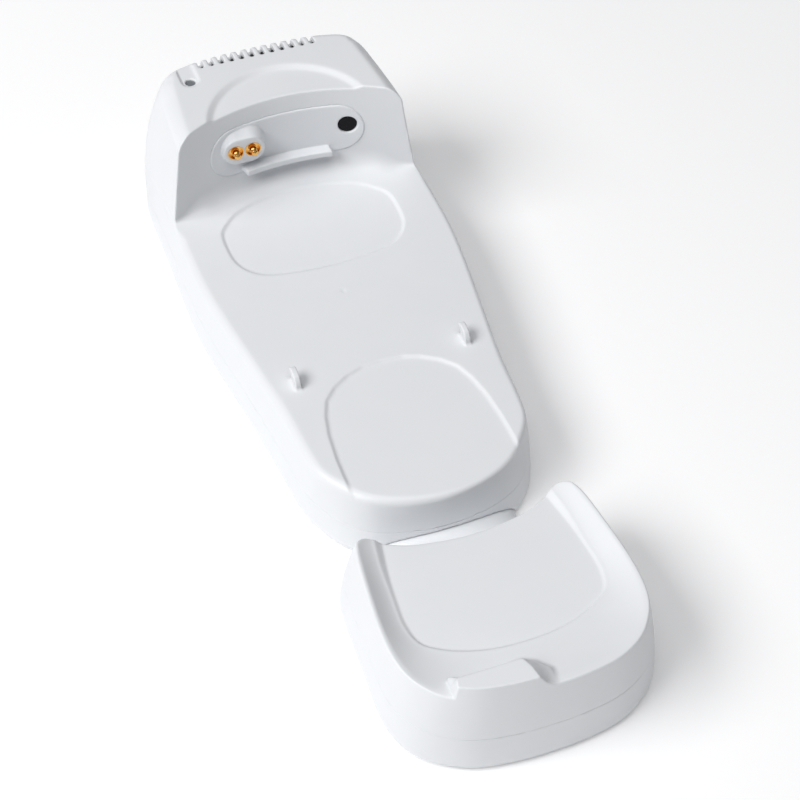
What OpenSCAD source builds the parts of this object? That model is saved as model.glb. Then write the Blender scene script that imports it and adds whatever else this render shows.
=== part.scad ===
// Docking base for a handheld meter: a main unit with a flat deck and a curved
// docking wall, and a detachable front support that hooks under its front edge.
// Millimetres, +Z up, the front is -Y. The origin is on the table under the
// middle of the whole object.

/* [Deck and shells] */
// Height of the docking deck above the table
deck_h = 31.2; // [28:0.1:40]
// Height of the seam between upper and lower shells, measured down from the deck
seam_d = 17; // [15:0.5:19]
// Wall thickness of the shells
wall_t = 2.5; // [2:0.1:3]
// How far the rubber feet stand proud of the bottom
foot_proud = 1.2; // [0.8:0.1:2]

/* [Housing] */
// Height of the housing's flat top above the deck
house_h = 42.4; // [38:0.1:46]
// Radius of the housing's rounded shoulders
shoulder_r = 7; // [4:0.5:9]
// Radius of the shallow round dish in the housing's top
top_dish_r = 36.3; // [30:0.1:38]
// Depth of that dish
top_dish_depth = 1.3; // [0.4:0.1:1.6]

/* [Vents and status lens] */
// Number of vent slots along the rear top edge
vent_count = 12; // [6:1:12]
// Spacing of the vent slots
vent_pitch = 4.6; // [4:0.1:4.8]
// Width of one vent slot
vent_w = 2.3; // [1.4:0.1:2.4]
// Diameter of the status lens
lens_d = 4.4; // [4:0.1:6]
// Sideways place of the status lens
lens_x = -33.5; // [-36:0.5:-32]

/* [Docking wall] */
// Radius of the wall's curve at deck level
wall_r_low = 132; // [120:1:160]
// Radius of the wall's curve at the housing's top
wall_r_high = 83; // [80:1:110]
// Place of the middle of the wall at deck level
wall_y_low = 12; // [10:0.1:14]
// Place of the middle of the wall at the housing's top
wall_y_high = 17.3; // [15:0.1:19]
// Width of the racetrack-shaped bezel in the wall
bezel_w = 70; // [60:1:72]
// Height of the bezel
bezel_h = 23; // [20:0.5:24]
// Height of the bezel's centre above the deck
bezel_z = 21; // [20:0.5:22]
// Width of the ledge bar under the contacts
bar_w = 39; // [30:1:44]
// Depth of the ledge bar
bar_depth = 6; // [4:0.5:7]

/* [Contacts and window] */
// Diameter of the contact sleeves
sleeve_d = 7.1; // [5:0.1:7.2]
// Spacing of the two contacts
contact_pitch = 7.6; // [7:0.1:9]
// Sideways place of the contact pair
contact_x = -19.8; // [-22:0.1:-16]
// Height of the contact pair above the deck
contact_z = 23.4; // [22:0.1:24.5]
// Travel of a contact pin
pin_travel = 3; // [1.5:0.1:3]
// Diameter of the infra-red window's hole
window_d = 8.4; // [6:0.1:9]
// Sideways place of the window
window_x = 28; // [24:0.5:29]

/* [Deck hooks] */
// Sideways place of the hooks from the middle
hook_x = 36.2; // [30:0.1:38]
// Thickness of a hook
hook_t = 2.4; // [1.8:0.1:3]
// Height of a hook
hook_h = 5.9; // [4:0.1:7.5]

/* [Front support] */
// Height of the support's rim above the deck
rim_h = 8; // [6:0.5:9]
// Height of the raised tab above the deck
tab_h = 13.8; // [11:0.1:14]
// Height of the dish floor above the deck
dish_h = 2.6; // [1.5:0.1:3]
// Height of the support's own seam, measured down from the deck
support_seam_d = 12.5; // [10:0.5:14]
// Length of the tongue inside the main unit
tongue_in = 24; // [18:1:26]

/* [Hidden] */
mid_y = 111.2;
seam_z = -seam_d;
support_seam = -support_seam_d;
low_z = foot_proud - deck_h;
eps = 0.01;

white = [0.93, 0.94, 0.95];

// ---- curves -------------------------------------------------------------

// One point of a Catmull-Rom curve.
function cr(a, b, c, d, t) =
    0.5 * ((2 * b) + (c - a) * t + (2 * a - 5 * b + 4 * c - d) * t * t
    + (3 * b - a - 3 * c + d) * t * t * t);
// A closed smooth curve through P, with k steps between neighbours.
function smooth_loop(P, k) = let (n = len(P))
    [for (i = [0:n - 1], j = [0:k - 1])
        cr(P[(i + n - 1) % n], P[i], P[(i + 1) % n], P[(i + 2) % n], j / k)];
// The right half of an outline, front centre to rear centre, closed by its mirror image.
function both_sides(H) = concat(H,
    [for (i = [len(H) - 2:-1:1]) [-H[i][0], H[i][1]]]);
// A loop moved outwards along its own normals.
function grown(C, d) = let (n = len(C))
    [for (i = [0:n - 1])
        let (t = C[(i + 1) % n] - C[(i + n - 1) % n], l = norm(t))
        C[i] + d * [t[1], -t[0]] / l];
function mixed(A, B, t) = [for (i = [0:len(A) - 1]) A[i] * (1 - t) + B[i] * t];

// A closed solid through rings of equal length; L is a list of [z, ring].
module loft(L) {
    n = len(L[0][1]);
    m = len(L);
    polyhedron(
        points = [for (r = L) for (p = r[1]) [p[0], p[1], r[0]]],
        faces = concat(
            [[for (i = [0:n - 1]) i]],
            [[for (i = [n - 1:-1:0]) (m - 1) * n + i]],
            [for (k = [0:m - 2], i = [0:n - 1])
                [k * n + i, (k + 1) * n + i, (k + 1) * n + (i + 1) % n]],
            [for (k = [0:m - 2], i = [0:n - 1])
                [k * n + i, (k + 1) * n + (i + 1) % n, k * n + (i + 1) % n]]),
        convexity = 6);
}

// Everything is laid out from the middle of the deck's rear edge.
module at_deck() translate([0, mid_y, deck_h]) children();

// ---- main unit's outer form ---------------------------------------------

// Half outlines, front centre to rear centre: at the table, at the deck, half
// way up the housing, under its shoulder and on its top.
foot_half = [[0, -185.6], [15, -184], [29.4, -179.6], [39.4, -171.5], [45.4, -161.5],
             [49, -149], [51, -122], [54, -92], [57.8, -62], [59.4, -42],
             [59.4, -18], [58.7, 4], [58.4, 24], [58, 38], [56.5, 48],
             [51, 55], [39, 59.5], [20, 62.3], [0, 63.2]];
deck_half = [[0, -182.3], [15, -180], [27.5, -174.3], [36.5, -165.5], [42.4, -156.5],
             [44.4, -145], [46, -121], [50, -91], [53.7, -63], [55.6, -42],
             [55.9, -18], [55.4, 4], [55.6, 22], [56.4, 36], [55.8, 46],
             [50.6, 53.4], [38, 57.4], [20, 60], [0, 61]];
cheek_half = [[0, -180], [14.4, -178], [26.4, -172.4], [35, -164], [40.4, -155],
              [42.2, -143.6], [43.8, -120.6], [47.6, -91], [51.6, -63], [53.4, -42],
              [53.5, -18], [52.7, 4], [52.8, 22], [53, 36], [52.2, 46.6],
              [47.6, 52.8], [36.6, 56.5], [20, 58.9], [0, 60]];
brow_half = [[0, -177], [13.5, -175], [25, -169.6], [33, -162], [38, -153],
             [39.6, -142], [41.2, -120], [45, -91], [49, -63], [50.8, -42],
             [50.8, -18], [50.2, 4], [49.3, 20], [48.2, 34], [46.8, 44.2],
             [43, 50], [34, 53.4], [20, 55.6], [0, 56.4]];
crown_half = [[0, -170], [11, -168], [21, -162.6], [28, -155], [32, -146],
              [33, -136], [34.6, -116], [38.2, -89], [42, -62], [43.8, -42],
              [43.8, -18], [43.2, 4], [42.3, 20], [41.4, 33], [40.2, 40.6],
              [37.4, 45.6], [31, 49.1], [18.6, 51.4], [0, 52.3]];
foot_loop = smooth_loop(both_sides(foot_half), 3);
deck_loop = smooth_loop(both_sides(deck_half), 3);
cheek_loop = smooth_loop(both_sides(cheek_half), 3);
brow_loop = smooth_loop(both_sides(brow_half), 3);
cheek_z = 18;
crown_loop = smooth_loop(both_sides(crown_half), 3);
brow_z = house_h - shoulder_r;

function unit_loop(z) = z < 0 ? mixed(deck_loop, foot_loop, pow(z / low_z, 0.6))
    : z < cheek_z ? mixed(deck_loop, cheek_loop, z / cheek_z)
    : mixed(cheek_loop, brow_loop, (z - cheek_z) / (brow_z - cheek_z));
function ring(z, inset) = [z, grown(unit_loop(z), -inset)];

module outer_form() loft(concat(
    [for (z = [seam_z, -9, -4, -1.5, 0, cheek_z, brow_z]) ring(z, 0)],
    [for (a = [22.5:22.5:90])
        [brow_z + shoulder_r * sin(a), mixed(brow_loop, crown_loop, 1 - cos(a))]]
));
module inner_form() loft([
    ring(seam_z - 1, wall_t), ring(-4, wall_t), ring(0, wall_t),
    ring(cheek_z, wall_t), ring(brow_z, wall_t),
    [house_h - wall_t - 1.4, grown(mixed(brow_loop, crown_loop, 0.3), -wall_t)],
    [house_h - wall_t, grown(mixed(brow_loop, crown_loop, 0.7), -wall_t)]
]);

// The docking wall leans back in the middle and hardly at its edges.
function wall_c(z) = wall_y_low + (wall_y_high - wall_y_low) * z / 42;
function wall_r(z) = wall_r_low + (wall_r_high - wall_r_low) * z / 42;
function wall_y(x, z) = wall_c(z) - wall_r(z) + sqrt(pow(wall_r(z), 2) - x * x);

// All that lies in front of the wall, moved back by b, from height z0 up.
module before_wall(b, z0) {
    xs = [for (i = [-12:12]) i * 5.25];
    n = len(xs);
    zs = [z0, 21, 46];
    loft([for (z = zs) [z, concat([for (x = xs) [-x, wall_y(x, z) + b]],
        [[-75, -230], [75, -230]])]]);
}

module racetrack(w, h, y0, y1) {
    for (s = [-1, 1]) translate([s * (w - h) / 2, y0, bezel_z])
        rotate([-90, 0, 0]) cylinder(d = h, h = y1 - y0, $fn = 64);
    translate([-(w - h) / 2, y0, bezel_z - h / 2]) cube([w - h, y1 - y0, h]);
}

module along_y(x, y0, y1, z, d) translate([x, y0, z])
    rotate([-90, 0, 0]) cylinder(d = d, h = y1 - y0, $fn = 48);

screw_at = [[46.5, 40], [-46.5, 40], [48, -50], [-48, -50], [36, -138], [-36, -138]];
foot_at = [[43, 24], [-43, 24], [34, -118], [-34, -118]];
board_at = [[36, 34], [-36, 34], [36, -26], [-36, -26]];

module hook() {
    translate([-hook_t / 2, 0, 0]) rotate([90, 0, 90])
        linear_extrude(hook_t) polygon([
            [-112.2, -0.6], [-112.1, 1.2], [-111.6, 2.8],
            [-110.8, 4], [-109.6, 5.1], [-108, hook_h - 0.5], [-106, hook_h],
            [-104.3, hook_h - 0.4], [-103.8, hook_h - 1.2], [-104.2, hook_h - 2],
            [-105.2, 3.4], [-105.9, 2.7], [-105.8, 1.4], [-105, -0.6]]);
}

module vents() {
    x0 = -0.8 - (vent_count - 1) / 2 * vent_pitch;
    for (i = [0:vent_count - 1])
        translate([x0 + i * vent_pitch - vent_w / 2, 46.2, house_h - 5])
            cube([vent_w, 14, 10]);
}

module rear_notches() {
    translate([-30.2, 40, seam_z - 1]) cube([10.4, 30, 13.2]);
    translate([3.7, 40, seam_z - 1]) cube([16.6, 30, 15.6]);
}

module deck_recess_rear() translate([0, 0, -0.6]) linear_extrude(3)
    polygon(smooth_loop(both_sides([[0, -49], [15, -48], [27, -45.6], [34, -41],
        [38.5, -33], [39.5, -22], [38.5, -13], [34, -7], [28, -2], [16, 2.5], [0, 4.4]]), 2));
module deck_recess_front() translate([0, 0, -0.6]) linear_extrude(3)
    polygon(both_sides([[0, -190], [33, -190], [35.2, -168], [34.8, -152], [33.6, -139],
        [31.5, -129], [28.5, -121], [23, -115], [16, -110.5], [9, -108], [0, -107.5]]));

module upper_shell() color(white) at_deck() {
    difference() {
        outer_form();
        before_wall(0, 0);
        difference() {
            inner_form();
            before_wall(wall_t, -wall_t);
        }
        intersection() {
            translate([-60, -200, -3]) cube([120, 202, 6]);
            union() { deck_recess_rear(); deck_recess_front(); }
        }
        translate([0, 1, house_h - top_dish_depth])
            cylinder(r = top_dish_r, h = 5, $fn = 96);
        racetrack(bezel_w, bezel_h, -10, 30);
        vents();
        translate([lens_x, 39, house_h - 0.8]) {
            cylinder(d = 8.6, h = 5, $fn = 48);
            translate([-4.3, 0, 0]) cube([8.6, 20, 5]);
        }
        translate([lens_x, 39, 20]) cylinder(d = lens_d + 0.2, h = 30, $fn = 48);
        rear_notches();
    }
    for (s = [-1, 1]) translate([s * hook_x, 0, 0]) hook();
    // the light pipe's guide
    difference() {
        translate([lens_x, 39, house_h - 14]) cylinder(d = lens_d + 3, h = 12, $fn = 48);
        translate([lens_x, 39, 10]) cylinder(d = lens_d + 0.2, h = 40, $fn = 48);
    }
    // screw posts
    for (p = screw_at) difference() {
        translate([p[0], p[1], low_z + wall_t + 0.05]) cylinder(d = 7.5, h = -low_z - 2 * wall_t + 0.4, $fn = 32);
        translate([p[0], p[1], low_z + 2]) cylinder(d = 2.5, h = 14, $fn = 32);
    }
    // ribs that carry the rear posts on the side walls
    for (s = [-1, 1]) translate([s * 52.4 - 3, 39, seam_z + 0.5]) cube([6, 2, 14.8]);
}

// ---- dock bezel, contacts, window ----------------------------------------

block_y = 8;
post_xz = [[-4, 27], [8, 14]];
board_y = 21;

module dock_bezel() color(white) at_deck() difference() {
    union() {
        // plate that follows the wall and stands a little proud of it
        intersection() {
            racetrack(bezel_w - 0.3, bezel_h - 0.3, -10, 30);
            difference() { before_wall(3.2, 0); before_wall(-0.4, 0); }
        }
        // flange behind the shell
        intersection() {
            racetrack(bezel_w + 5, bezel_h + 5, -10, 30);
            difference() { before_wall(4.2, 0); before_wall(wall_t + 0.05, 0); }
        }
        // contact block
        intersection() {
            hull() for (s = [-1, 1]) translate([contact_x + s * 2.4, block_y, contact_z])
                rotate([-90, 0, 0]) cylinder(d1 = 12.6, d2 = 17, h = 8, $fn = 40);
            before_wall(3.2, 0);
        }
        // ledge bar
        intersection() {
            translate([-bar_w / 2, -2, bezel_z - bezel_h / 2 + 1]) cube([bar_w, 24, 2.5]);
            difference() { before_wall(3, 0); before_wall(-bar_depth + 0.5, 0); }
        }
        // posts for the dock board
        for (p = post_xz) along_y(p[0], 17, board_y, p[1], 5);
    }
    for (s = [-1, 1]) along_y(contact_x + s * contact_pitch / 2, block_y - 2, 30, contact_z, sleeve_d);
    along_y(window_x, 0, 30, bezel_z + 1.4, window_d);
    along_y(window_x, 13.2, 30, bezel_z + 1.4, 10.2);
    for (p = post_xz) along_y(p[0], 17.6, 30, p[1], 1.6);
}

module ir_window() color([0.06, 0.06, 0.07]) at_deck() {
    along_y(window_x, 13.25, 14.9, bezel_z + 1.4, 10);
    difference() {
        along_y(window_x, 5, 13.4, bezel_z + 1.4, window_d - 0.3);
        before_wall(0.5, 0);
    }
}

module contact_sleeves() color([0.85, 0.6, 0.25]) at_deck()
    for (s = [-1, 1]) difference() {
        along_y(contact_x + s * contact_pitch / 2, block_y, board_y - 0.1, contact_z, sleeve_d - 0.04);
        translate([contact_x + s * contact_pitch / 2, block_y - 0.01, contact_z])
            rotate([-90, 0, 0]) cylinder(d1 = sleeve_d - 0.8, d2 = 5.4, h = 1.6, $fn = 48);
        along_y(contact_x + s * contact_pitch / 2, block_y, block_y + 6, contact_z, 3.4);
        along_y(contact_x + s * contact_pitch / 2, block_y + 4.8, board_y - 0.9, contact_z, 4.8);
    }

// A stepped pin: rounded head, neck, shaft and a collar that keeps it in its sleeve.
module contact_pin(s) at_deck() translate([contact_x + s * contact_pitch / 2, 4.4, contact_z])
    rotate([-90, 0, 0]) rotate_extrude($fn = 48) polygon([
        [0, 0], [0.6, 0.05], [1.05, 0.25], [1.38, 0.6], [1.5, 1.05], [1.5, 1.4], [1.2, 1.8],
        [1.2, 2.1], [1.6, 2.6], [1.6, 8.5], [2.25, 8.5], [2.25, 9.5], [0, 9.5]]);
module contact_pin_left() color([0.9, 0.68, 0.3]) contact_pin(-1);
module contact_pin_right() color([0.9, 0.68, 0.3]) contact_pin(1);

module contact_spring(s) at_deck() translate([contact_x + s * contact_pitch / 2, 0, contact_z])
    rotate([-90, 0, 0]) for (i = [0:4]) translate([0, 0, 14.2 + i * 1.2])
        rotate_extrude($fn = 32) translate([1.6, 0]) circle(d = 0.5, $fn = 16);
module contact_spring_left() color([0.8, 0.8, 0.82]) contact_spring(-1);
module contact_spring_right() color([0.8, 0.8, 0.82]) contact_spring(1);

module dock_board() color([0.1, 0.4, 0.2]) at_deck() difference() {
    translate([-30, board_y, 9.5]) cube([65, 1.6, 24]);
    for (p = post_xz) along_y(p[0], 15, 30, p[1], 2.2);
}
module dock_board_screws() color([0.75, 0.76, 0.78]) at_deck()
    for (p = post_xz) {
        along_y(p[0], 17.8, board_y + 1.7, p[1], 1.56);
        along_y(p[0], board_y + 1.62, board_y + 3, p[1], 3.6);
    }
module ir_transceiver() color([0.08, 0.08, 0.09]) at_deck() {
    translate([window_x - 5, 18, bezel_z - 1.6]) cube([10, 2.95, 5]);
    for (s = [-1, 1]) translate([window_x + s * 2.4, 18.2, bezel_z + 0.9]) sphere(d = 3.6, $fn = 32);
}
module flex_cable() color([0.8, 0.55, 0.25]) at_deck() translate([-10, 0, 0])
    rotate([90, 0, 90]) linear_extrude(12) polygon([
        [22.7, 18], [23.1, 18], [23.1, 11], [24.4, 8], [26.6, 2], [27.2, -6],
        [26.4, -13], [25, -15.4], [20, -15.6], [20, -15.95], [25.3, -15.8],
        [26.8, -13.2], [27.6, -6], [27, 2.2], [24.8, 8.2], [23.4, 11.1], [23.4, 18.6], [22.7, 18.6]]);

// ---- main board -----------------------------------------------------------

board_z = -17.6;
module main_board() color([0.1, 0.4, 0.2]) at_deck() difference() {
    translate([-42, -34, board_z]) cube([84, 84, 1.6]);
    for (p = board_at) translate([p[0], p[1], board_z - 1]) cylinder(d = 3.2, h = 4, $fn = 32);
}
module main_board_screws() color([0.75, 0.76, 0.78]) at_deck()
    for (p = board_at) {
        translate([p[0], p[1], board_z - 6]) cylinder(d = 2.46, h = 8, $fn = 32);
        translate([p[0], p[1], board_z + 1.65]) cylinder(d = 5, h = 1.8, $fn = 32);
    }
module controller_chips() color([0.12, 0.12, 0.13]) at_deck() {
    translate([-6, -22, board_z + 1.65]) cube([14, 14, 1.6]);
    translate([16, -12, board_z + 1.65]) cube([10, 6, 1.8]);
    translate([-24, 2, board_z + 1.65]) cube([8, 6, 1.5]);
}
module capacitors() color([0.2, 0.2, 0.24]) at_deck()
    for (p = [[-33, 12, 8, 11], [-33, 0, 6.3, 9], [-22, 26, 5, 8]])
        translate([p[0], p[1], board_z + 1.65]) cylinder(d = p[2], h = p[3], $fn = 32);
module power_coil() color([0.35, 0.25, 0.18]) at_deck()
    translate([-32, -14, board_z + 1.65]) difference() {
        cylinder(d = 13, h = 7, $fn = 40);
        translate([0, 0, 6]) cylinder(d = 4, h = 3, $fn = 32);
    }
module status_led() color([0.95, 0.95, 0.85]) at_deck()
    translate([lens_x - 1.6, 37.6, board_z + 1.65]) cube([3.2, 2.8, 1.9]);

module light_pipe() color([0.35, 0.37, 0.39]) at_deck() translate([lens_x, 39, 0]) {
    translate([0, 0, house_h - 13]) cylinder(d = lens_d, h = 11.2, $fn = 48);
    translate([0, 0, board_z + 4]) cylinder(d = 3.6, h = house_h - 12 - board_z - 4, $fn = 40);
}

module power_inlet() color([0.1, 0.1, 0.11]) at_deck() {
    difference() {
        translate([-29.7, 46.4, board_z + 1.65]) cube([9.4, 13.6, 11]);
        along_y(-25, 50.8, 70, board_z + 7.4, 6.4);
    }
    along_y(-25, 50.3, 58.8, board_z + 7.4, 2);
}
module data_socket() color([0.75, 0.76, 0.78]) at_deck() difference() {
    translate([4, 40, board_z + 1.65]) cube([16, 20.2, 13.4]);
    translate([6.15, 47, board_z + 4.4]) cube([11.7, 20, 8]);
    translate([9, 47, board_z + 2.9]) cube([6, 20, 2]);
}

// ---- bottom cover -----------------------------------------------------------

// The arch is half an ellipse that stands on the level of the underside.
tunnel_a = 32;
tunnel_b = 11.1;
tunnel_y = -160;
function arch_points(a, b) = concat([for (t = [0 : 5 : 180]) [a * cos(t), b * sin(t)]], [[-a, -6], [a, -6]]);
module arch_bar(a, b, from, to)
    translate([0, to, low_z]) rotate([90, 0, 0]) linear_extrude(to - from) polygon(arch_points(a, b));

module bottom_cover() color(white) at_deck() difference() {
    union() {
        difference() {
            loft([ring(low_z, 1.8), ring(low_z + 0.7, 0.6), ring(low_z + 2, 0), ring(seam_z - 0.1, 0)]);
            loft([ring(low_z + wall_t, wall_t + 0.4), ring(seam_z + 1, wall_t)]);
        }
        // roof and end wall of the tongue's tunnel
        intersection() {
            arch_bar(tunnel_a + 1.6, tunnel_b + 1.6, -186, -158);
            loft([ring(low_z, 2), ring(seam_z - 0.15, 0.4)]);
        }
        for (p = board_at) translate([p[0], p[1], low_z + 1]) cylinder(d = 6.5, h = board_z - low_z - 1.05, $fn = 32);
    }
    arch_bar(tunnel_a, tunnel_b, -200, tunnel_y);
    for (p = screw_at) translate([p[0], p[1], low_z - 1]) {
        cylinder(d = 3.3, h = 9, $fn = 32);
        cylinder(d = 6.4, h = 2.4, $fn = 32);
    }
    for (p = foot_at) translate([p[0], p[1], low_z - 1]) cylinder(d = 11, h = 2, $fn = 40);
    for (p = board_at) translate([p[0], p[1], low_z + 3.2]) cylinder(d = 2.5, h = 20, $fn = 32);
}

// A self-tapping screw driven up from below, with a cross recess.
module tapping_screw(l) {
    difference() {
        union() {
            cylinder(d = 5.6, h = 1.4, $fn = 32);
            cylinder(d = 2.46, h = l, $fn = 32);
        }
        for (a = [0, 90]) rotate([0, 0, a]) translate([-1.5, -0.3, -0.5]) cube([3, 0.6, 1.3]);
    }
}
module cover_screws() color([0.72, 0.73, 0.75]) at_deck()
    for (p = screw_at) translate([p[0], p[1], low_z - 0]) tapping_screw(11);
module rubber_foot() {
    cylinder(d1 = 9.4, d2 = 10.6, h = 0.8, $fn = 40);
    translate([0, 0, 0.8]) cylinder(d = 10.6, h = foot_proud + 0.15, $fn = 40);
}
module rubber_feet() color([0.25, 0.26, 0.27]) at_deck()
    for (p = foot_at) translate([p[0], p[1], -deck_h]) rubber_foot();

// ---- front support ---------------------------------------------------------

rim_half = [[0, -282.3], [14, -281.7], [27, -279.3], [37, -274], [43.2, -267],
            [47, -259], [48.5, -249], [48.4, -236], [46.8, -219], [45.5, -208],
            [44.4, -202.8], [42.3, -198.4], [38.8, -196.3], [35.2, -197.4], [30, -200.7],
            [20, -204.2], [0, -206.5]];
base_half = [[0, -285.6], [14, -285], [28.8, -282.2], [40.4, -276.1], [47.7, -268.6],
             [51.5, -259.6], [52.8, -249], [52.2, -236], [51.2, -216], [50.6, -206],
             [50, -199.5], [48.2, -195], [45, -192.9], [40, -194.1], [32, -197.6],
             [20, -202.4], [0, -204.8]];
rim_loop = smooth_loop(both_sides(rim_half), 3);
base_loop = smooth_loop(both_sides(base_half), 3);
// The wall swells out quickly under the rim, then drops nearly straight.
belly_z = -25;
function support_loop(z) = mixed(rim_loop, base_loop,
    z < belly_z ? 1 : (rim_h - z) / (rim_h - belly_z) * (1.6 - 0.6 * (rim_h - z) / (rim_h - belly_z)));
function support_ring(z, inset) = [z, grown(support_loop(z), -inset)];

tab_low = [[-31.8, -266.8], [-33.5, -266.6], [-34.4, -275.8], [-36, -292], [0, -292],
           [-1.4, -282.6], [0.8, -275.2], [-2.6, -270.4], [-6, -268.2]];
tab_top = [[-31.4, -271.7], [-32.4, -272.3], [-33.1, -276.3], [-34, -292], [-3.6, -292],
           [-4.8, -281.6], [-5.9, -276], [-7.4, -272.2], [-8.4, -271.7]];

module support_cut() difference() {
    union() {
        translate([-70, -300, rim_h]) cube([140, 130, 20]);
        hull() {
            translate([0, 0, rim_h - 0.1]) linear_extrude(1) polygon(both_sides(
                [[0, -280.2], [14, -279.6], [27, -277.2], [36, -272], [42, -265], [45, -257],
                 [46.4, -248], [46.2, -236], [44.4, -215], [41.4, -190], [0, -190]]));
            translate([0, 0, dish_h + 0.8]) linear_extrude(0.1) polygon(both_sides(
                [[0, -262], [14, -261.3], [25, -258.6], [33, -253.6], [37.6, -246.6],
                 [38.8, -237], [37.6, -216], [35.4, -190], [0, -190]]));
        }
        translate([0, 0, dish_h]) linear_extrude(3) polygon(both_sides(
            [[0, -259], [12, -258.2], [22, -255.8], [30, -252], [35.4, -246], [37, -238],
             [36.8, -230], [35.4, -215], [33, -190], [0, -190]]));
    }
    loft([[0, tab_low], [rim_h, tab_low], [tab_h, tab_top]]);
}

post_at = [[38, -226], [-38, -226], [22, -268], [-22, -268]];
pad_at = [[38, -208], [-38, -208], [36, -262], [-36, -262]];

module support_top() color(white) at_deck() {
    difference() {
        loft([for (z = [support_seam, -6, 0, 3, 5.5, 7, 7.7, rim_h]) support_ring(z, 0),
            [tab_h, grown(rim_loop, -0.9)]]);
        loft([support_ring(support_seam - 1, wall_t), support_ring(-6, wall_t + 0.6),
            support_ring(-1.5, wall_t + 1.4), support_ring(dish_h - wall_t, wall_t + 4)]);
        support_cut();
    }
    for (p = post_at) difference() {
        translate([p[0], p[1], low_z + wall_t + 0.05]) cylinder(d = 7.5, h = dish_h - low_z - 2 * wall_t + 0.4, $fn = 32);
        translate([p[0], p[1], low_z + 2]) cylinder(d = 2.5, h = 14, $fn = 32);
    }
}

tongue_a = tunnel_a - 0.5;
tongue_b = tunnel_b - 0.5;
module support_base() color(white) at_deck() difference() {
    union() {
        difference() {
            loft([support_ring(low_z, 1.8), support_ring(low_z + 1, 0.8), support_ring(low_z + 2.8, 0.2),
                support_ring(belly_z, 0), support_ring(support_seam - 0.1, 0)]);
            loft([support_ring(low_z + wall_t, wall_t + 1), support_ring(support_seam + 1, wall_t)]);
        }
        intersection() {
            arch_bar(tongue_a, tongue_b, -201.5, tongue_in - 185);
            translate([-40, -240, low_z + 0.3]) cube([80, 100, 20]);
        }
    }
    // hollow underside of the tongue
    intersection() {
        arch_bar(tongue_a - 2.2, tongue_b - 2.2, -197.4, tongue_in - 187);
        translate([-22, -240, low_z - 1]) cube([44, 100, 20]);
    }
    for (p = post_at) translate([p[0], p[1], low_z - 1]) {
        cylinder(d = 3.3, h = 9, $fn = 32);
        cylinder(d = 6.4, h = 2.4, $fn = 32);
    }
    for (p = pad_at) translate([p[0], p[1], low_z - 1]) cylinder(d = 11, h = 2, $fn = 40);
}
module support_screws() color([0.72, 0.73, 0.75]) at_deck()
    for (p = post_at) translate([p[0], p[1], low_z]) tapping_screw(11);
module support_feet() color([0.25, 0.26, 0.27]) at_deck()
    for (p = pad_at) translate([p[0], p[1], -deck_h]) rubber_foot();

upper_shell();
dock_bezel();
ir_window();
light_pipe();
contact_sleeves();
contact_pin_left();
contact_pin_right();
contact_spring_left();
contact_spring_right();
dock_board();
dock_board_screws();
ir_transceiver();
flex_cable();
main_board();
main_board_screws();
controller_chips();
capacitors();
power_coil();
status_led();
power_inlet();
data_socket();
bottom_cover();
cover_screws();
rubber_feet();
support_top();
support_base();
support_screws();
support_feet();
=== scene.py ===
import math

import bpy
import numpy as np
from mathutils import Matrix, Vector


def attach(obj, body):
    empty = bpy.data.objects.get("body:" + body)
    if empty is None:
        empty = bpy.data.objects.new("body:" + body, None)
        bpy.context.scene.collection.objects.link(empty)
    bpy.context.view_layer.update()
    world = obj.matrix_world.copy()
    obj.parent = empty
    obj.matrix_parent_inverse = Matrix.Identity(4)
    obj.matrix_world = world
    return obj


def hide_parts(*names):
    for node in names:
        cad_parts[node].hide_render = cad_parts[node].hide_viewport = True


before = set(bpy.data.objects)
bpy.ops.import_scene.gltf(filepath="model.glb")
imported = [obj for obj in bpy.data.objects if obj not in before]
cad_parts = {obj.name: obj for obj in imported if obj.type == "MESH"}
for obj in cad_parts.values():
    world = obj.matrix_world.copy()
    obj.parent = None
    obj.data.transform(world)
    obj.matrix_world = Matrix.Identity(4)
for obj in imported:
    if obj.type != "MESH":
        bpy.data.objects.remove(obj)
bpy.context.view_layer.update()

# Lengths below are millimetres in the deck's own frame: x to the right, y to the
# rear, z up from the docking deck.
MID_Y, DECK = 111.2, 31.2


# ---- outlines as smooth distance fields -------------------------------------

def both(half):
    return [tuple(p) for p in half] + [(-p[0], p[1]) for p in half[-2:0:-1]]


def catmull(points, steps):
    p = np.asarray(points, float)
    a, b, c, d = np.roll(p, 1, 0), p, np.roll(p, -1, 0), np.roll(p, -2, 0)
    t = (np.arange(steps) / steps)[None, :, None]
    q = 0.5 * ((2 * b)[:, None] + (c - a)[:, None] * t
               + (2 * a - 5 * b + 4 * c - d)[:, None] * t * t
               + (3 * b - a - 3 * c + d)[:, None] * t ** 3)
    return q.reshape(-1, 2)


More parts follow.
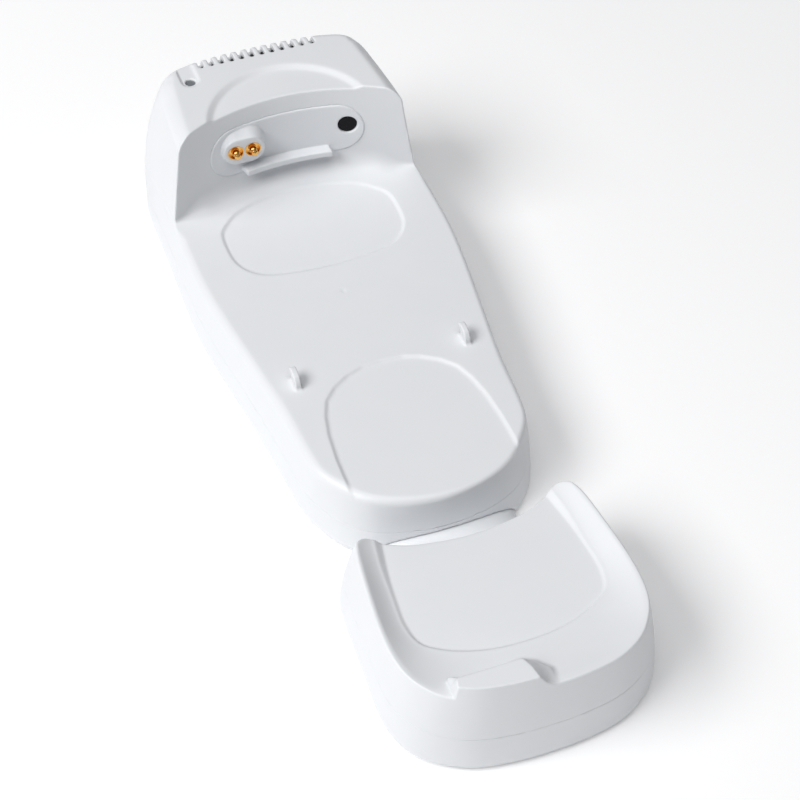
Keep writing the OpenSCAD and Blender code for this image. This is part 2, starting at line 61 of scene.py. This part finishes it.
class Outline:
    """Signed distance to a closed outline, negative inside, smooth to sample."""

    def __init__(self, points, span, step=0.5, blur=2, fold=True):
        x0, x1, y0, y1 = span
        self.x0, self.y0, self.step, self.fold = x0, y0, step, fold
        X, Y = np.meshgrid(np.arange(x0, x1 + step, step),
                           np.arange(y0, y1 + step, step), indexing="ij")
        best = np.full(X.shape, 1e9)
        inside = np.zeros(X.shape, bool)
        A, B = np.asarray(points, float), np.roll(np.asarray(points, float), -1, 0)
        for (ax, ay), (bx, by) in zip(A, B):
            if fold and max(ax, bx) < -12:
                continue
            ex, ey = bx - ax, by - ay
            t = np.clip(((X - ax) * ex + (Y - ay) * ey) / (ex * ex + ey * ey + 1e-12), 0, 1)
            best = np.minimum(best, (X - ax - t * ex) ** 2 + (Y - ay - t * ey) ** 2)
            if ay != by:
                inside ^= ((ay > Y) != (by > Y)) & (X < ex * (Y - ay) / ey + ax)
        g = np.where(inside, -1, 1) * np.sqrt(best)
        for _ in range(blur):
            h = np.pad(g, 1, mode="reflect", reflect_type="odd")
            g = (h[:-2, 1:-1] + h[2:, 1:-1] + h[1:-1, :-2] + h[1:-1, 2:] + 4 * h[1:-1, 1:-1]) / 8
        self.g = g

    def __call__(self, x, y):
        if self.fold:
            x = np.abs(x)
        u = np.clip((x - self.x0) / self.step, 1, self.g.shape[0] - 3.001)
        v = np.clip((y - self.y0) / self.step, 1, self.g.shape[1] - 3.001)
        i, j = np.floor(u).astype(int), np.floor(v).astype(int)
        total = 0
        for a, wa in enumerate(taps(u - i)):
            for b, wb in enumerate(taps(v - j)):
                total = total + wa * wb * self.g[i + a - 1, j + b - 1]
        return total


def taps(t):
    return (0.5 * (-t + 2 * t * t - t ** 3), 0.5 * (2 - 5 * t * t + 3 * t ** 3),
            0.5 * (t + 4 * t * t - 3 * t ** 3), 0.5 * (-t * t + t ** 3))


def smooth(a, b, x):
    t = np.clip((x - a) / (b - a), 0, 1)
    return t * t * (3 - 2 * t)


def ramp(t):
    """0 to 1 along a slope with softened ends."""
    t = np.clip(t, 0, 1)
    return 0.55 * t + 0.45 * t * t * (3 - 2 * t)


def cut(a, b, r):
    """Both solids at once, their shared edge rounded to radius r."""
    return np.minimum(np.maximum(a, b), -r) + np.hypot(np.maximum(a + r, 0), np.maximum(b + r, 0))


def join(a, b, r):
    """Either solid, with a fillet of radius r where they meet."""
    return np.maximum(np.minimum(a, b), r) - np.hypot(np.maximum(r - a, 0), np.maximum(r - b, 0))


def rod(x, y, cx, cy, r):
    return np.hypot(x - cx, y - cy) - r


def arch(x, z, grow):
    """Distance to the half-elliptical arch of the tongue's tunnel, enlarged by grow."""
    a, b, h = 30.8 + grow, 11.2 + grow, np.maximum(z + 30, 0)
    k = np.maximum(np.hypot(x / a, h / b), 1e-4)
    return k * (k - 1) / np.maximum(np.hypot(x / a ** 2, h / b ** 2), 1e-6)


# ---- surfaces from fields ----------------------------------------------------

def lines(start, *spans):
    out = [start]
    for end, spacing in spans:
        n = max(1, round((end - out[-1]) / spacing))
        out += list(out[-1] + (end - out[-1]) * (np.arange(n) + 1) / n)
    return np.array(out)


def surface(f, xs, ys, zs, passes=3):
    """A quad mesh on f = 0: one vertex in each grid cell that the surface crosses."""
    g = [xs, ys, zs]
    F = np.broadcast_to(f(xs[:, None, None], ys[None, :, None], zs[None, None, :]),
                        (len(xs), len(ys), len(zs)))
    S = F < 0
    c = np.array(F.shape) - 1
    total = int(c.prod())
    sums, count, quads = np.zeros((3, total)), np.zeros(total), []
    for ax in range(3):
        lo = tuple(slice(0, -1) if k == ax else slice(None) for k in range(3))
        hi = tuple(slice(1, None) if k == ax else slice(None) for k in range(3))
        I = [k.copy() for k in np.nonzero(S[lo] != S[hi])]
        u, v = (ax + 1) % 3, (ax + 2) % 3
        ok = (I[u] > 0) & (I[v] > 0) & (I[u] < c[u]) & (I[v] < c[v])
        I = [k[ok] for k in I]
        J = list(I)
        J[ax] = I[ax] + 1
        a, b = F[tuple(I)], F[tuple(J)]
        t = a / (a - b)
        p = [g[k][I[k]] for k in range(3)]
        p[ax] = p[ax] + t * (g[ax][J[ax]] - g[ax][I[ax]])
        ring = []
        for du, dv in ((-1, -1), (0, -1), (0, 0), (-1, 0)):
            K = list(I)
            K[u], K[v] = I[u] + du, I[v] + dv
            cell = (K[0] * c[1] + K[1]) * c[2] + K[2]
            ring.append(cell)
            for k in range(3):
                sums[k] += np.bincount(cell, weights=p[k], minlength=total)
            count += np.bincount(cell, minlength=total)
        q = np.stack(ring, 1)
        flip = ~S[tuple(I)]
        q[flip] = q[flip][:, ::-1]
        quads.append(q)
    q = np.concatenate(quads)
    used = np.nonzero(count)[0]
    index = np.full(total, -1)
    index[used] = np.arange(len(used))
    p = (sums[:, used] / count[used]).copy()
    i, j, k = used // (c[1] * c[2]), (used // c[2]) % c[1], used % c[2]
    lo = np.stack([xs[i], ys[j], zs[k]])
    hi = np.stack([xs[i + 1], ys[j + 1], zs[k + 1]])
    e = 0.02
    for _ in range(passes):
        v = f(*p)
        G = np.stack([(f(*(p + e * np.eye(3)[n][:, None])) - v) / e for n in range(3)])
        n2 = np.maximum((G ** 2).sum(0), 0.2)
        p = np.clip(p - G * (v / n2), lo, hi)
    return p.T, index[q]


def piece(name, verts, faces, body, nodes, material, shade=True):
    mesh = bpy.data.meshes.new(name)
    mesh.from_pydata((np.asarray(verts) + (0, MID_Y, DECK)) / 1000, [], np.asarray(faces).tolist()
                     if isinstance(faces, np.ndarray) else faces)
    mesh.update()
    if shade:
        mesh.shade_smooth()
    mesh.materials.append(material)
    obj = bpy.data.objects.new(name, mesh)
    bpy.context.scene.collection.objects.link(obj)
    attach(obj, body)
    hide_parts(*nodes)
    print("piece", name, len(mesh.vertices), len(mesh.polygons))
    return obj


# ---- materials ----------------------------------------------------------------

def finish(name, light, dark, rough, metal=0.0, grain=900.0, bump=0.04, mottle=60.0,
           spread=0.04, coat=0.0, specular=0.5):
    """A procedural finish: two close shades, uneven roughness and a fine grain."""
    m = bpy.data.materials.new(name)
    m.use_nodes = True
    nt = m.node_tree
    shader = nt.nodes["Principled BSDF"]
    where = nt.nodes.new("ShaderNodeTexCoord")
    wide = nt.nodes.new("ShaderNodeTexNoise")
    wide.inputs["Scale"].default_value = mottle
    wide.inputs["Detail"].default_value = 4
    nt.links.new(where.outputs["Object"], wide.inputs["Vector"])
    mix = nt.nodes.new("ShaderNodeMix")
    mix.data_type = "RGBA"
    mix.inputs["A"].default_value = (*dark, 1)
    mix.inputs["B"].default_value = (*light, 1)
    nt.links.new(wide.outputs["Fac"], mix.inputs["Factor"])
    nt.links.new(mix.outputs["Result"], shader.inputs["Base Color"])
    fine = nt.nodes.new("ShaderNodeTexNoise")
    fine.inputs["Scale"].default_value = grain
    fine.inputs["Detail"].default_value = 3
    nt.links.new(where.outputs["Object"], fine.inputs["Vector"])
    span = nt.nodes.new("ShaderNodeMapRange")
    span.inputs["To Min"].default_value = rough - spread
    span.inputs["To Max"].default_value = rough + spread
    nt.links.new(fine.outputs["Fac"], span.inputs["Value"])
    nt.links.new(span.outputs["Result"], shader.inputs["Roughness"])
    if bump:
        raised = nt.nodes.new("ShaderNodeBump")
        raised.inputs["Strength"].default_value = bump
        raised.inputs["Distance"].default_value = 0.00005
        nt.links.new(fine.outputs["Fac"], raised.inputs["Height"])
        nt.links.new(raised.outputs["Normal"], shader.inputs["Normal"])
    shader.inputs["Metallic"].default_value = metal
    shader.inputs["Specular IOR Level"].default_value = specular
    shader.inputs["Coat Weight"].default_value = coat
    return m


WHITE = finish("white_plastic", (0.80, 0.812, 0.832), (0.775, 0.79, 0.812), 0.42, bump=0.10)
BEZEL = finish("bezel_plastic", (0.79, 0.805, 0.828), (0.765, 0.782, 0.808), 0.36, bump=0.08)
BLACK = finish("window_black", (0.006, 0.006, 0.008), (0.003, 0.003, 0.004), 0.08, bump=0.01,
               specular=0.18)
LENS = finish("lens_grey", (0.20, 0.215, 0.235), (0.14, 0.15, 0.165), 0.22, bump=0.02)
GOLD = finish("gold_plate", (1.0, 0.62, 0.20), (0.95, 0.50, 0.12), 0.22, metal=1.0, bump=0.03, mottle=300)
STEEL = finish("spring_steel", (0.62, 0.63, 0.65), (0.50, 0.51, 0.53), 0.28, metal=1.0)
SCREW = finish("screw_steel", (0.60, 0.60, 0.62), (0.45, 0.45, 0.47), 0.34, metal=1.0, mottle=400)
BOARD = finish("board_green", (0.02, 0.16, 0.06), (0.01, 0.10, 0.035), 0.38, mottle=250)
CHIP = finish("chip_black", (0.025, 0.025, 0.028), (0.015, 0.015, 0.017), 0.5, mottle=500)
FLEX = finish("flex_amber", (0.62, 0.33, 0.08), (0.48, 0.22, 0.05), 0.32, mottle=200)
CAN = finish("can_aluminium", (0.70, 0.71, 0.73), (0.58, 0.59, 0.61), 0.30, metal=1.0)
COIL = finish("coil_copper", (0.42, 0.17, 0.07), (0.22, 0.09, 0.04), 0.35, metal=0.8, mottle=900)
LED = finish("led_white", (0.85, 0.85, 0.78), (0.74, 0.73, 0.62), 0.3)
SOCKET = finish("socket_steel", (0.66, 0.67, 0.69), (0.52, 0.53, 0.55), 0.27, metal=1.0, mottle=250)
RUBBER = finish("foot_rubber", (0.055, 0.057, 0.06), (0.035, 0.036, 0.038), 0.75, bump=0.3, mottle=500)
INLET = finish("inlet_black", (0.03, 0.03, 0.033), (0.018, 0.018, 0.02), 0.42, mottle=400)

LOOKS = {
    "upper_shell": WHITE, "dock_bezel": BEZEL, "bottom_cover": WHITE, "support_top": WHITE,
    "support_base": WHITE, "ir_window": BLACK, "light_pipe": LENS, "contact_sleeves": GOLD,
    "contact_pin_left": GOLD, "contact_pin_right": GOLD, "contact_spring_left": STEEL,
    "contact_spring_right": STEEL, "dock_board": BOARD, "dock_board_screws": SCREW,
    "ir_transceiver": CHIP, "flex_cable": FLEX, "main_board": BOARD,
    "main_board_screws": SCREW, "controller_chips": CHIP, "capacitors": CAN,
    "power_coil": COIL, "status_led": LED, "power_inlet": INLET, "data_socket": SOCKET,
    "cover_screws": SCREW, "rubber_feet": RUBBER, "support_screws": SCREW,
    "support_feet": RUBBER,
}
for name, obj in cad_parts.items():
    obj.data.materials.clear()
    obj.data.materials.append(LOOKS[name])


# ---- the main unit's form -------------------------------------------------------

FOOT = [(0, -185.6), (15, -184), (29.2, -179.3), (38.9, -171), (44.6, -160.9), (48.4, -148.8),
        (51, -122), (54, -92), (57.8, -62), (59.4, -42), (59.4, -18), (58.7, 4), (58.4, 24),
        (58, 38), (56.5, 48), (51, 55), (39, 59.5), (20, 62.3), (0, 63.2)]
EDGE = [(0, -182.3), (15, -180), (27.5, -174.3), (36.5, -165.5), (42.4, -156.5), (44.4, -145),
        (46, -121), (50, -91), (53.7, -63), (55.6, -42), (55.9, -18), (55.4, 4), (55.6, 22),
        (56.4, 36), (55.8, 46), (50.6, 53.4), (38, 57.4), (20, 60), (0, 61)]
CHEEK = [(0, -180), (14.4, -178), (26.4, -172.4), (35, -164), (40.4, -155), (42.2, -143.6),
         (43.8, -120.6), (47.6, -91), (51.6, -63), (53.4, -42), (53.5, -18), (52.7, 4),
         (52.8, 22), (53, 36), (52.2, 46.6), (47.6, 52.8), (36.6, 56.5), (20, 58.9), (0, 60)]
BROW = [(0, -177), (13.5, -175), (25, -169.6), (33, -162), (38, -153), (39.6, -142),
        (41.2, -120), (45, -91), (49, -63), (50.8, -42), (50.8, -18), (50.2, 4), (49.3, 20),
        (48.2, 34), (46.8, 44.2), (43, 50), (34, 53.4), (20, 55.6), (0, 56.4)]
MAIN = (-3, 68, -200, 76)
foot, edge, cheek, brow = (Outline(catmull(both(h), 8), MAIN) for h in (FOOT, EDGE, CHEEK, BROW))
rear_pan = Outline(catmull(both([(0, -49), (15, -48), (27, -45.6), (34, -41), (38.5, -33),
                                 (39.5, -22), (38.5, -13), (34, -7), (28, -2), (16, 2.5),
                                 (0, 4.4)]), 6), (-3, 50, -62, 18))
front_pan = Outline(both([(0, -195), (33, -195), (34.4, -182), (35.2, -168), (34.8, -152),
                          (33.6, -139), (31.5, -129), (28.5, -121), (23, -115), (16, -110.5),
                          (9, -108), (0, -107.5)]), (-3, 50, -198, -96), blur=5)
hook_side = Outline(catmull([(-112.2, -1.6), (-112.1, 1.2), (-111.6, 2.8), (-110.8, 4),
                             (-109.6, 5.1), (-108, 5.6), (-106, 5.9), (-104.3, 5.5),
                             (-103.8, 4.8), (-104.2, 4.1), (-105.2, 3.5), (-105.9, 2.7),
                             (-105.8, 1.4), (-105, -1.6)], 3),
                    (-120, -96, -8, 14), step=0.2, blur=3, fold=False)


def side(x, y, z):
    d = edge(x, y)
    t = np.clip(-z / 30, 0, 1) ** 0.6
    h = np.maximum(z, 0)
    up = (d * ((h - 18) * (h - 35.4) / (18 * 35.4)) + cheek(x, y) * (h * (h - 35.4) / (18 * -17.4))
          + brow(x, y) * (h * (h - 18) / (35.4 * 17.4)))
    return np.where(z < 0, d + (foot(x, y) - d) * t, up) + 0.03


def wall(x, y, z):
    """Distance in front of the docking wall; negative inside the housing."""
    r = 132 - 49 * z / 42
    return r - np.hypot(x, np.maximum(y - (12 + 5.3 * z / 42 - r), 0))


def deck_and_wall(x, y, z):
    pans = -0.9 * (ramp(-rear_pan(x, y) / 1.7) + ramp(-front_pan(x, y) / 1.7))
    pans = pans - 0.16 * ramp(1.6 - np.hypot(x + 0.9, y + 64.8))
    w = wall(x, y, z)
    return join(z - pans, w, 8 - 6.2 * smooth(38, 54, np.abs(x))), w


SCREWS = [(46.5, 40), (48, -50), (36, -138)]
SLOTS = [-0.8 + 4.6 * (i - 5.5) for i in range(12)]


def upper_shell(x, y, z):
    s = side(x, y, z)
    p, w = deck_and_wall(x, y, z)
    ax = np.abs(x)
    dish = 1.6 * ramp((36.3 - np.hypot(x, y - 1)) / 3.2)
    form = cut(s, z - (42.4 - dish), 4 + 3 * smooth(36, 48, ax))
    form = cut(p, form, 0.6 + (2.4 - 1.6 * smooth(-20, 20, x)) * smooth(2, 12, w))
    hollow = np.maximum(p + 2.5, cut(s + 2.5, z - 39.9, 4))
    f = np.maximum(form, -hollow)
    f = np.maximum(f, -17 - z)
    # vents
    k = np.clip(np.round((x + 0.8) / 4.6 + 5.5), 0, 11)
    slot = np.hypot(x - (-0.8 + 4.6 * (k - 5.5)), np.minimum(y - 47.2, 0)) - 1.22
    f = cut(f, -np.maximum(slot, 37.4 - z), 0.5)
    # status lens: a pocket open to the rear, and its hole
    pk = np.hypot(x + 33.5, np.minimum(y - 39, 0)) - 4.3
    f = np.maximum(f, z - (41.5 + np.maximum(pk + 1.15, 0) * 0.8))
    lens = rod(x, y, -33.5, 39, 0)
    f = np.minimum(f, np.maximum(lens - 4.1, np.maximum(28.4 - z, z - 40.4)))
    f = cut(f, -np.maximum(lens - 2.28, 20 - z), 0.15)
    # opening for the bezel
    q = np.hypot(np.maximum(ax - 23.5, 0), z - 21) - 11.2
    f = np.maximum(f, -np.maximum(q, -w - 8))
    # hooks
    f = join(f, cut(hook_side(y, z), np.abs(ax - 36.2) - 1.25, 0.35), 1.1)
    # openings for the sockets
    f = np.maximum(f, -np.maximum(np.maximum(np.abs(x + 25) - 5.2, z + 4.8), 38 - y))
    f = np.maximum(f, -np.maximum(np.maximum(np.abs(x - 12) - 8.3, z + 2.4), 38 - y))
    # screw posts and the ribs of the rear pair
    for px, py in SCREWS:
        post = rod(ax, y, px, py, 0)
        f = np.minimum(f, np.maximum(post - 3.75, np.maximum(-27.4 - z, z + 1.6)))
        f = np.maximum(f, -np.maximum(post - 1.25, z + 14))
    rib = np.maximum(np.abs(y - 40) - 1, np.abs(ax - 52.2) - 2.8)
    f = np.minimum(f, np.maximum(rib, np.maximum(-16.5 - z, z + 1.8)))
    return f


grid_x = list(lines(-61.5, (-57.4, 1.0), (-46, 0.52), (-38, 0.75), (-34.4, 0.42), (-27.6, 0.75)))
for c in SLOTS:
    grid_x += [c - 1.25, c - 0.7, c, c + 0.7, c + 1.25, c + 1.7, c + 2.3, c + 2.9]
grid_x = np.array(grid_x[:-2] + list(lines(SLOTS[-1] + 1.7, (34.4, 0.75), (38, 0.42), (46, 0.75),
                                           (57.4, 0.52), (61.5, 1.0))[1:]))
v, q = surface(
    upper_shell, grid_x,
    lines(-187, (-182.6, 1.0), (-113.2, 0.8), (-102.8, 0.48), (-68, 1.5), (-62.4, 0.6), (-49.6, 1.5),
          (5, 0.75), (20, 0.7), (45, 1.1), (50.6, 0.48), (66, 0.95)),
    lines(-28.6, (-18, 2.6), (-17.2, 0.4), (-16.72, 0.08), (-15.4, 0.44), (-4, 1.3), (1.2, 0.42), (7, 0.5), (32, 0.85),
          (39, 0.7), (43.4, 0.4)))
piece("shell_skin", v, q, "base", ["upper_shell"], WHITE)


# ---- dock bezel -------------------------------------------------------------------

def dock_bezel(x, y, z):
    w = wall(x, y, z)
    ax = np.abs(x)
    race = np.hypot(np.maximum(ax - 23.5, 0), z - 21)
    f = np.maximum(cut(race - 11.6, w - 0.5, 0.8), -w - 3.2)
    # contact block
    grow = 2.2 * np.clip((y - 8) / 8, 0, 1)
    block = np.hypot(np.maximum(np.abs(x + 19.8) - 2.7, 0), z - 23.5) - (6.5 + grow)
    block = np.maximum(cut(block, 8 - y, 0.5), -w - 3)
    f = join(f, block, 0.3)
    # ledge bar
    ends = ax - 19.5 - 1.6 * np.clip((5.5 - w) / 5.5, 0, 1) * (x < 0)
    bar = cut(cut(np.abs(z - 11.75) - 1.25, ends, 0.9), w - 5.5, 0.35)
    bar = np.maximum(bar, cut(ends, w - 5.5, 0.5))
    f = join(f, np.maximum(bar, -w - 3), 0.4)
    f = np.minimum(f, np.maximum(race - 14, np.maximum(w + 2.6, -w - 4.2)))
    for px, pz in ((-4, 27), (8, 14)):
        post = rod(x, z, px, pz, 0)
        f = np.minimum(f, np.maximum(post - 2.5, np.maximum(17 - y, y - 21)))
        f = np.maximum(f, -np.maximum(post - 0.8, 17.6 - y))
    for cx in (-23.6, -16.0):
        f = cut(f, -rod(x, z, cx, 23.4, 3.55), 0.12)
    win = rod(x, z, 28, 22.4, 0)
    f = cut(f, -(win - 4.2), 0.4)
    return np.maximum(f, -np.maximum(win - 5.1, 13.2 - y))


v, q = surface(
    dock_bezel,
    lines(-38.4, (-31, 0.4), (-9, 0.3), (22, 0.42), (34, 0.34), (38.4, 0.4)),
    lines(3.5, (17, 0.33), (22, 0.6)),
    lines(6.2, (10, 0.4), (13.6, 0.28), (31, 0.33), (35.8, 0.4)))
piece("bezel_skin", v, q, "base", ["dock_bezel"], BEZEL)


# ---- bottom cover -------------------------------------------------------------------

def bottom_cover(x, y, z):
    s = side(x, y, z)
    ax = np.abs(x)
    f = cut(cut(s, -30 - z, 1.9), z + 17.0, 0.03)
    f = np.maximum(f, -cut(s + 2.5, -27.5 - z, 1))
    roof = np.maximum(np.maximum(arch(x, z, 1.6), np.maximum(-186 - y, y + 158)),
                      np.maximum(s + 0.4, np.maximum(-29.9 - z, z + 17.15)))
    f = np.minimum(f, roof)
    f = cut(f, -np.maximum(arch(x, z, 0), y + 160), 0.3)
    for px, py in ((36, 34), (36, -26)):
        f = np.minimum(f, np.maximum(rod(ax, y, px, py, 3.25), np.maximum(-29 - z, z + 17.65)))
        f = np.maximum(f, -np.maximum(rod(ax, y, px, py, 1.25), -26.8 - z))
    for px, py in SCREWS:
        hole = rod(ax, y, px, py, 0)
        f = np.maximum(f, -(hole - 1.65))
        f = np.maximum(f, -np.maximum(hole - 3.2, z + 28.6))
    for px, py in ((43, 24), (34, -118)):
        f = np.maximum(f, -np.maximum(rod(ax, y, px, py, 5.5), z + 29))
    return f


v, q = surface(
    bottom_cover, lines(-62, (-45, 1.0), (45, 0.62), (62, 1.0)),
    lines(-188, (-178, 0.4), (-156, 0.8), (66, 1.05)),
    lines(-31, (-26.6, 0.42), (-18, 0.85), (-17.28, 0.24), (-16.8, 0.08)))
piece("cover_skin", v, q, "base", ["bottom_cover"], WHITE)


# ---- front support --------------------------------------------------------------------

RIM = [(0, -282.3), (14, -281.7), (27, -279.3), (37, -274), (43.2, -267), (47, -259),
       (48.5, -249), (48.4, -236), (46.8, -219), (45.5, -208), (44.4, -202.8), (42.3, -198.4),
       (38.8, -196.3), (35.2, -197.4), (30, -200.7), (20, -204.2), (0, -206.5)]
BASE = [(0, -285.6), (14, -285), (28.8, -282.2), (40.4, -276.1), (47.7, -268.6), (51.5, -259.6),
        (52.8, -249), (52.2, -236), (51.2, -216), (50.4, -203), (48.9, -196.2),
        (44.8, -192.8), (36, -195.8), (20, -202.4), (0, -204.8)]
FRONT = (-3, 62, -298, -150)
rim, base = (Outline(catmull(both(h), 8), FRONT) for h in (RIM, BASE))
crest = Outline(catmull(both([(0, -280.4), (14, -279.8), (27, -277.4), (36.4, -272.4), (42.8, -265.8),
                              (45.8, -257.6), (47, -248.4), (46.9, -236), (45.2, -217),
                              (43.2, -201), (41.8, -190), (39.5, -172), (0, -170)]), 6), FRONT, blur=3)
floor_u = Outline(catmull(both([(0, -258), (12, -257.2), (22, -254.6), (30, -250.8),
                                (35.4, -246), (37.2, -238), (37.1, -230), (35.6, -215),
                                (33, -200), (31, -188), (30, -172), (0, -170)]), 6), FRONT, blur=3)
TAB_LOW = [(-29.6, -268.2), (-31.8, -266.8), (-33.5, -266.6), (-34.4, -275.8), (-36, -292),
           (0, -292), (-1.4, -282.6), (0.8, -275.2), (-2.6, -270.4), (-6, -268.2)]
TAB_TOP = [(-31.4, -271.7), (-32.4, -272.3), (-33.1, -276.3), (-34, -292), (-3.6, -292),
           (-4.8, -281.6), (-5.9, -276), (-7.4, -272.2), (-8.4, -271.7)]
tab_low, tab_top = (Outline(np.array(h, float), (-60, 20, -300, -240), step=0.4, blur=2, fold=False)
                    for h in (TAB_LOW, TAB_TOP))


def support_side(x, y, z):
    u = np.clip((8 - z) / 33, 0, 1)
    t = u * (1.6 - 0.6 * u)
    r = rim(x, y)
    return r + (base(x, y) - r) * t + 0.17 * np.maximum(z - 8, 0) + 0.03


def dish_height(x, y):
    a, c = crest(x, y), floor_u(x, y)
    step = 1.1 + (0.7 * smooth(-250, -238, y) + 1.4 * smooth(-226, -202, y)) * smooth(24, 34, np.abs(x))
    rest = np.maximum(c + 0.1 - step, 0)
    t = np.clip(-a / np.maximum(rest - a, 0.5), -1.5, 1)
    h = 7.95 - (4.5 - 1.1 * smooth(-226, -200, y)) * (1 - (1 - t) ** 1.35)
    return 2.6 + (h - 2.6) * ramp((c + 0.1) / step)


def support_form(x, y, z):
    s = support_side(x, y, z)
    low = cut(z - 8.0, (z - dish_height(x, y)) * 0.8, 0.45)
    m = np.clip((z - 8) / 5.8, 0, 1)
    lo = tab_low(x, y)
    tab = cut(lo + (tab_top(x, y) - lo) * m, z - 13.78, 0.35)
    top = join(low, tab, 0.3 + 2.2 * smooth(-32, -26, x) + 1.2 * smooth(-14, -5, x))
    edge_r = 0.8 + 0.5 * smooth(-210, -201, y) * smooth(33, 38, np.abs(x))
    return cut(s, top, edge_r - 0.45 * smooth(6, 10, z))


POSTS = [(38, -226), (22, -268)]


def support_top(x, y, z):
    form = support_form(x, y, z)
    f = np.maximum(form, -(form + 2.4))
    f = np.maximum(f, -12.5 - z)
    ax = np.abs(x)
    for px, py in POSTS:
        post = rod(ax, y, px, py, 0)
        f = np.minimum(f, np.maximum(post - 3.75, np.maximum(-27.4 - z, z - 0.4)))
        f = np.maximum(f, -np.maximum(post - 1.25, z + 14))
    return f


v, q = surface(
    support_top, lines(-55, (55, 0.5)), lines(-289, (-188, 0.5)),
    lines(-28.6, (-13.3, 2.4), (-12.8, 0.25), (-12.24, 0.08), (-11.4, 0.4), (-1, 1.1), (2, 0.6), (14.6, 0.42)))
piece("support_skin", v, q, "front_support", ["support_top"], WHITE)


def support_base(x, y, z):
    s = support_side(x, y, z)
    ax = np.abs(x)
    f = cut(cut(s, -30 - z, 1.9), z + 12.5, 0.05)
    f = np.maximum(f, -cut(s + 2.5, -27.5 - z, 1))
    tongue = np.maximum(cut(arch(x, z, -0.5), y + 161, 0.8), np.maximum(-201.5 - y, -29.7 - z))
    f = np.minimum(f, np.maximum(tongue, ax - 40))
    f = np.maximum(f, -np.maximum(np.maximum(arch(x, z, -2.7), ax - 22), np.maximum(-197.4 - y, y + 163)))
    for px, py in POSTS:
        hole = rod(ax, y, px, py, 0)
        f = np.maximum(f, -(hole - 1.65))
        f = np.maximum(f, -np.maximum(hole - 3.2, z + 28.6))
    for px, py in ((38, -208), (36, -262)):
        f = np.maximum(f, -np.maximum(rod(ax, y, px, py, 5.5), z + 29))
    return f


v, q = surface(
    support_base, lines(-55, (55, 0.9)), lines(-289, (-158, 0.9)),
    lines(-31, (-26.6, 0.42), (-18.6, 0.8), (-13.5, 1.2), (-12.8, 0.24), (-12.32, 0.08)))
piece("support_base_skin", v, q, "front_support", ["support_base"], WHITE)


# ---- stage, light, camera ---------------------------------------------------------------

def plane(name, size, height, material):
    mesh = bpy.data.meshes.new(name)
    mesh.from_pydata([(-size, -size, height), (size, -size, height), (size, size, height),
                      (-size, size, height)], [], [(0, 1, 2, 3)])
    mesh.materials.append(material)
    obj = bpy.data.objects.new(name, mesh)
    bpy.context.scene.collection.objects.link(obj)
    return obj


PAPER = finish("paper_white", (0.93, 0.93, 0.935), (0.92, 0.92, 0.925), 0.9, bump=0, mottle=3,
               specular=0.1)
shader = PAPER.node_tree.nodes["Principled BSDF"]
shader.inputs["Emission Color"].default_value = (1, 1, 1, 1)
shader.inputs["Emission Strength"].default_value = 0.12
plane("studio_floor", 3.0, -0.0002, PAPER)


def area(name, azimuth, elevation, distance, size, power, colour=(1, 1, 1)):
    """A soft box that looks at the object from azimuth (0 = from the front, 90 = from the left)."""
    data = bpy.data.lights.new(name, "AREA")
    data.shape = "RECTANGLE"
    data.size, data.size_y = size
    data.energy = power
    data.color = colour
    obj = bpy.data.objects.new(name, data)
    a, e = math.radians(azimuth), math.radians(elevation)
    back = Vector((-math.sin(a) * math.cos(e), -math.cos(a) * math.cos(e), math.sin(e)))
    obj.location = Vector((0, 0, 0.02)) + back * distance
    obj.rotation_euler = back.to_track_quat("Z", "Y").to_euler()
    bpy.context.scene.collection.objects.link(obj)
    return obj


area("key", 84, 46, 2.4, (1.8, 1.1), 44)
area("top", 20, 80, 2.4, (1.8, 1.8), 22)

world = bpy.data.worlds.new("studio")
world.use_nodes = True
world.node_tree.nodes["Background"].inputs["Color"].default_value = (0.95, 0.97, 1.0, 1)
world.node_tree.nodes["Background"].inputs["Strength"].default_value = 0.13
bpy.context.scene.world = world

e, a, D = math.radians(47.15), math.radians(20.4), 791.0
back = Vector((-math.sin(a) * math.cos(e), -math.cos(a) * math.cos(e), math.sin(e)))
right = Vector((math.cos(a), -math.sin(a), 0))
up = back.cross(right)
place = (Vector((-0.5, -131.3, 0)) + D * back + Vector((0, MID_Y, DECK))) / 1000
camera = bpy.data.cameras.new("camera")
camera.sensor_width, camera.lens = 36, 90
eye = bpy.data.objects.new("camera", camera)
eye.matrix_world = Matrix((
    (right.x, up.x, back.x, place.x), (right.y, up.y, back.y, place.y),
    (right.z, up.z, back.z, place.z), (0, 0, 0, 1)))
bpy.context.scene.collection.objects.link(eye)
bpy.context.scene.camera = eye
bpy.context.scene.view_settings.view_transform = "Standard"
